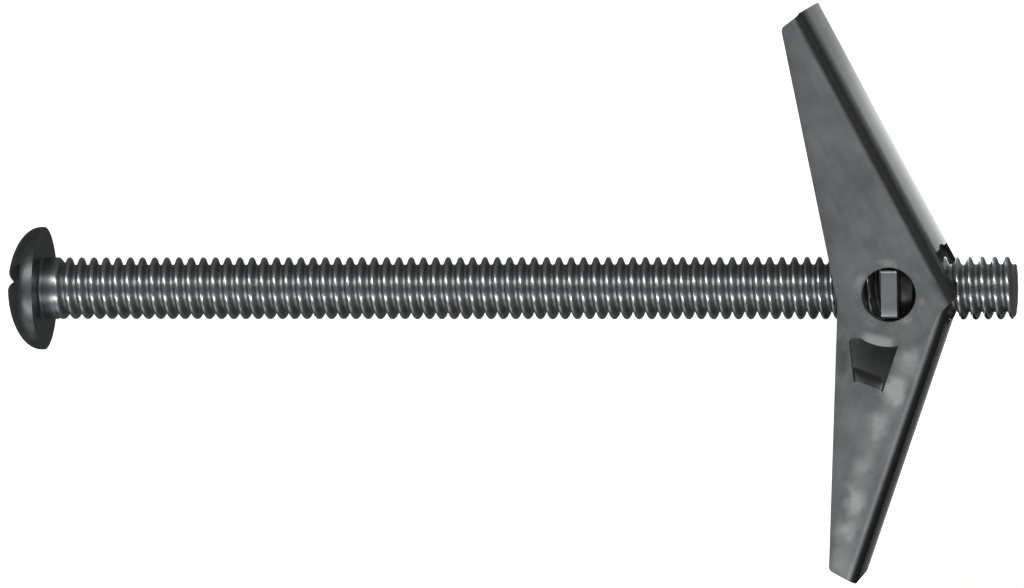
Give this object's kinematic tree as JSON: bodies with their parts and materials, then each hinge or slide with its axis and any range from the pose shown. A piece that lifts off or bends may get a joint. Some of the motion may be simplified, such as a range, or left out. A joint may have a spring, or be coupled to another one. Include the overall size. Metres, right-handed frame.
{
  "type": "spring toggle bolt",
  "caption": "Slotted machine screw with a trunnion nut and two spring-loaded folding wings, for fixing into a hollow wall.",
  "frame": {"origin": "centre of the head's bearing face, on the screw's axis", "axes": "+X down the screw to its tip, +Z along the wings' pivot axis and up as the part lies, +Y towards the upper wing"},
  "size_m": [0.1036, 0.0581, 0.0126],
  "materials": {
    "screw_zinc": "zinc-plated cold-headed steel with a rolled thread",
    "nut_zinc": "zinc-plated stamped steel",
    "wing_zinc": "dull zinc-plated sheet steel, stamped and folded",
    "spring_wire": "bright drawn spring wire"
  },
  "bodies": {
    "screw": {"machine_screw": "screw_zinc"},
    "nut": {"trunnion_nut": "nut_zinc", "torsion_spring": "spring_wire"},
    "upper_wing": {"upper_wing": "wing_zinc"},
    "lower_wing": {"lower_wing": "wing_zinc"}
  },
  "joints": [
    {"name": "nut_travel", "type": "slide", "parent": "screw", "child": "nut", "axis": [1, 0, 0], "range_m": [-0.057, 0.009]},
    {"name": "upper_wing_fold", "type": "hinge", "parent": "nut", "child": "upper_wing", "pos_m": [0.0879, 0, 0], "axis": [0, 0, 1], "range_deg": [-10.9, 62.3], "stiffness_Nm_per_rad": 0.03, "deforming": ["torsion_spring"]},
    {"name": "lower_wing_fold", "type": "hinge", "parent": "nut", "child": "lower_wing", "pos_m": [0.0879, 0, 0], "axis": [0, 0, -1], "range_deg": [-2.6, 70.6], "stiffness_Nm_per_rad": 0.03, "deforming": ["torsion_spring"]}
  ]
}
